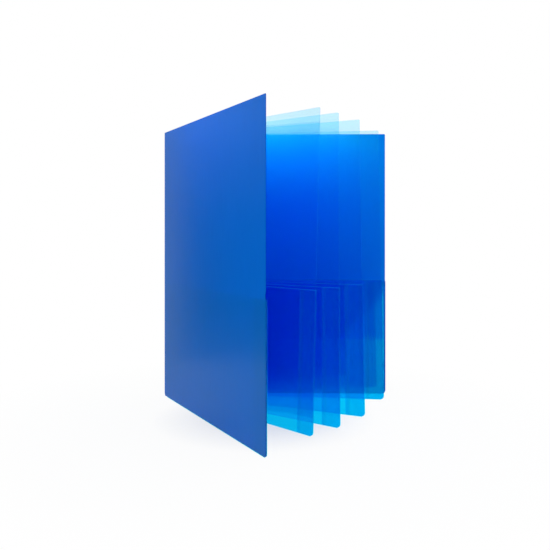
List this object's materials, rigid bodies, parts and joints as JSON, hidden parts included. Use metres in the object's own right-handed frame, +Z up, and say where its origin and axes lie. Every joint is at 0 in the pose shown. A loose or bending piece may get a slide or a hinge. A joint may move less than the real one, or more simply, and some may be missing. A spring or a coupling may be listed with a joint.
{
  "type": "multi-pocket folder",
  "caption": "Upright folder of blue translucent plastic sheet: two covers folded round a narrow spine and clear leaves between them, all with low welded pockets for loose paper.",
  "frame": {"origin": "middle of the spine's lower edge, where the folder stands on the floor", "axes": "+Z up along the spine, +X along the rear cover from its fold to its fore edge, +Y out of the rear cover's outer face"},
  "size_m": [0.2488, 0.2224, 0.295],
  "materials": {
    "cover_sheet": "satin, fine-grained, slightly see-through polypropylene",
    "cover_pocket_sheet": "satin, slightly see-through polypropylene",
    "leaf_film": "clear tinted glossy film",
    "pocket_film": "clear tinted glossy film",
    "tab_film": "clear tinted glossy film, welded"
  },
  "bodies": {
    "rear": {"rear_cover": "cover_sheet", "rear_pocket": "cover_pocket_sheet", "rear_pocket_tab": "cover_pocket_sheet", "rear_pocket_fold": "cover_pocket_sheet"},
    "spine": {"spine_panel": "cover_sheet", "leaf_1_root_tab": "leaf_film", "leaf_2_root_tab": "leaf_film", "leaf_3_root_tab": "leaf_film", "leaf_4_root_tab": "leaf_film"},
    "front": {"front_cover": "cover_sheet", "front_pocket": "cover_pocket_sheet", "front_pocket_tab": "cover_pocket_sheet", "front_pocket_fold": "cover_pocket_sheet"},
    "leaf_1": {"leaf_1_sheet": "leaf_film", "leaf_1_front_pocket": "pocket_film", "leaf_1_back_pocket": "pocket_film", "leaf_1_front_tab": "tab_film", "leaf_1_back_tab": "tab_film", "leaf_1_bottom_fold": "pocket_film"},
    "leaf_2": {"leaf_2_sheet": "leaf_film", "leaf_2_front_pocket": "pocket_film", "leaf_2_back_pocket": "pocket_film", "leaf_2_front_tab": "tab_film", "leaf_2_back_tab": "tab_film", "leaf_2_bottom_fold": "pocket_film"},
    "leaf_3": {"leaf_3_sheet": "leaf_film", "leaf_3_front_pocket": "pocket_film", "leaf_3_back_pocket": "pocket_film", "leaf_3_front_tab": "tab_film", "leaf_3_back_tab": "tab_film", "leaf_3_bottom_fold": "pocket_film"},
    "leaf_4": {"leaf_4_sheet": "leaf_film", "leaf_4_front_pocket": "pocket_film", "leaf_4_back_pocket": "pocket_film", "leaf_4_front_tab": "tab_film", "leaf_4_back_tab": "tab_film", "leaf_4_bottom_fold": "pocket_film"}
  },
  "joints": [
    {"name": "rear_fold", "type": "hinge", "parent": "rear", "child": "spine", "pos_m": [0.004, 0.00693, 0], "axis": [0, 0, -1], "range_deg": [-30, 60]},
    {"name": "front_fold", "type": "hinge", "parent": "spine", "child": "front", "pos_m": [-0.004, -0.00693, 0], "axis": [0, 0, -1], "range_deg": [-30, 60]},
    {"name": "leaf_1_hinge", "type": "hinge", "parent": "spine", "child": "leaf_1", "pos_m": [-0.00158, -0.00463, 0], "axis": [0, 0, -1], "range_deg": [-14.1, 28.2]},
    {"name": "leaf_2_hinge", "type": "hinge", "parent": "spine", "child": "leaf_2", "pos_m": [0.00002, -0.00186, 0], "axis": [0, 0, -1], "range_deg": [-6, 12]},
    {"name": "leaf_3_hinge", "type": "hinge", "parent": "spine", "child": "leaf_3", "pos_m": [0.00162, 0.00091, 0], "axis": [0, 0, -1], "range_deg": [-10.2, 5.1]},
    {"name": "leaf_4_hinge", "type": "hinge", "parent": "spine", "child": "leaf_4", "pos_m": [0.00322, 0.00368, 0], "axis": [0, 0, -1], "range_deg": [-46.2, 23.1]}
  ],
  "couplings": [
    {"joint": "front_fold", "follows": "rear_fold", "ratio": 1},
    {"joint": "leaf_1_hinge", "follows": "rear_fold", "ratio": 0.47},
    {"joint": "leaf_2_hinge", "follows": "rear_fold", "ratio": 0.2},
    {"joint": "leaf_3_hinge", "follows": "rear_fold", "ratio": -0.17},
    {"joint": "leaf_4_hinge", "follows": "rear_fold", "ratio": -0.77}
  ]
}
